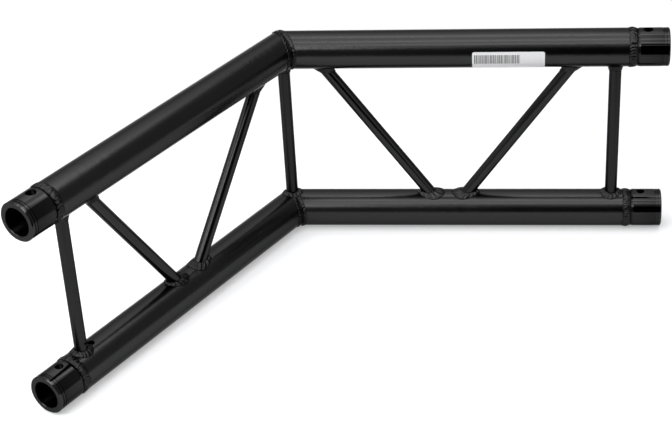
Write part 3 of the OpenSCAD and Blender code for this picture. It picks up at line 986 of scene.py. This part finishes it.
# %% White world
ROOM_GREY, ROOM_WHITE = (0.3, 0.3, 0.306, 1), grey(1)
world = bpy.data.worlds.new("studio")
bpy.context.scene.world = world
world.use_nodes = True
tree = world.node_tree
room = tree.nodes["Background"]
room.inputs["Color"].default_value = ROOM_GREY
backdrop = tree.nodes.new("ShaderNodeBackground")
backdrop.inputs["Color"].default_value = ROOM_WHITE
either = mix_shaders(tree, shown(tree), room.outputs["Background"], backdrop.outputs["Background"])
tree.links.new(either, tree.nodes["World Output"].inputs["Surface"])
print("table and world are white to the camera and in reflections")

# %% [markdown]
# ## Lamps
#
# On the shiny receivers four thin bright lines run along the metal: four long tubes. The height at which
# each line lies on the round surface gives the angle of its tube, and together they form a rack above the
# table. Softer cloths between the tubes blend them into one broad band on the duller chords. One big area
# lamp would give the band without the lines. The cloth at the front left is the brightest, because it
# alone lights the inner diagonal of the left leg.

# %% One lamp of the rack
RACK_LEFT, RACK_EDGE_X, RACK_RIGHT = -2.3, 0.95, 0.45
along = np.array([math.cos(LEG_ANGLE), -math.sin(LEG_ANGLE), 0])
forward = np.array([-math.sin(LEG_ANGLE), -math.cos(LEG_ANGLE), 0])


def rack_end(ahead):
    """Where a lamp at a distance ahead of the corner ends on the right, at the edge of the softbox."""
    return max((RACK_EDGE_X + math.sin(LEG_ANGLE) * ahead) / math.cos(LEG_ANGLE), RACK_RIGHT)


def strip_lamp(name, ahead, width, radiance, height, right_end):
    """A lamp along the right leg, at a distance ahead of the corner and a height above the table."""
    lamp = bpy.data.lights.new(name, "AREA")
    lamp.shape = "RECTANGLE"
    lamp.size, lamp.size_y = right_end - RACK_LEFT, width
    lamp.energy = radiance * math.pi * lamp.size * width
    lamp_object = add_object(name, lamp)
    lamp_object.location = along * (right_end + RACK_LEFT) / 2 + forward * ahead + np.array([0, 0, height])
    lamp_object.rotation_euler = (0, 0, math.atan2(along[1], along[0]))
    print(name, "energy", round(lamp.energy, 1), "W")


# %% [markdown]
# Each lamp is listed by its distance ahead of the corner, in metres, with the brightness of its surface.
# An area lamp takes its power in watts, so the helper multiplies that brightness by the lamp's area and
# by pi.

# %% A softbox with four tubes
RACK_Z, CLOTH_LIFT = 1.72, 0.02
CLOTH_Z = RACK_Z + CLOTH_LIFT
TUBE_WIDE, CLOTH_WIDE = 0.18, 0.65
TUBES = {2.05: 2.4, 1.10: 3.2, 0.39: 3.2, -0.46: 3.2}
CLOTHS = {1.2: 1.3, 0.55: 1.3, -0.1: 1.3, -0.75: 1.4, -1.4: 0.6, -2.05: 0.4}
LEFT_CLOTH = {"ahead": 2.0, "width": 1.4, "radiance": 5.5, "right_end": -0.25}
for number, (ahead, radiance) in enumerate(TUBES.items()):
    strip_lamp(f"tube_{number}", ahead, TUBE_WIDE, radiance, RACK_Z, rack_end(ahead))
for number, (ahead, radiance) in enumerate(CLOTHS.items()):
    strip_lamp(f"cloth_{number}", ahead, CLOTH_WIDE, radiance, CLOTH_Z, rack_end(ahead))
strip_lamp("left_cloth", height=CLOTH_Z, **LEFT_CLOTH)

# %% [markdown]
# ## Curtains
#
# The right leg shows a black band at eye height, which turns grey towards the corner, and the left leg a
# grey one. A darker paint would darken the whole tube. Photographers get such bands from dark cloth that
# hangs round a shiny object. Behind the camera hang a black curtain and a grey one beside it, and another
# grey one hangs on the right. All are hidden from the camera's own rays, so they show only in the metal
# and never stand in front of the object.

# %% One curtain
CURTAIN_LOW, VELVET = -1.0, grey(0.01)


def curtain(name, start, end, high, glow):
    """An upright cloth between two places on the floor, with a faint even glow."""
    mesh = bpy.data.meshes.new(name)
    corners = [(*start, CURTAIN_LOW), (*end, CURTAIN_LOW), (*end, high), (*start, high)]
    mesh.from_pydata(corners, [], [(0, 1, 2, 3)])
    cloth = add_object(name, mesh)
    cloth.visible_camera = cloth.visible_diffuse = cloth.visible_shadow = False
    velvet = bpy.data.materials.new(name)
    velvet.use_nodes = True
    shader = velvet.node_tree.nodes["Principled BSDF"]
    matt(shader, VELVET)
    shader.inputs["Emission Color"].default_value = grey(1)
    shader.inputs["Emission Strength"].default_value = glow
    mesh.materials.append(velvet)
    print(name, "from", [round(v, 2) for v in start], "to", [round(v, 2) for v in end])


# %% Three curtains
FRONT_AHEAD, FRONT_HALF, FRONT_SEAM, FRONT_HIGH = 2.8, 3.5, 0.1, 2.9
RIGHT_X, RIGHT_HALF_Y, RIGHT_HIGH = 2.6, 2.4, 3.4
FRONT_GREY, FRONT_BLACK, RIGHT_GREY = 0.24, 0.0, 0.38
front_ways = (-FRONT_HALF, FRONT_SEAM, FRONT_HALF)
left_end, seam, right_end = [(forward * FRONT_AHEAD + along * way)[:2].tolist() for way in front_ways]
curtain("front_left_curtain", left_end, seam, FRONT_HIGH, FRONT_GREY)
curtain("front_right_curtain", seam, right_end, FRONT_HIGH, FRONT_BLACK)
curtain("right_curtain", (RIGHT_X, -RIGHT_HALF_Y), (RIGHT_X, RIGHT_HALF_Y), RIGHT_HIGH, RIGHT_GREY)
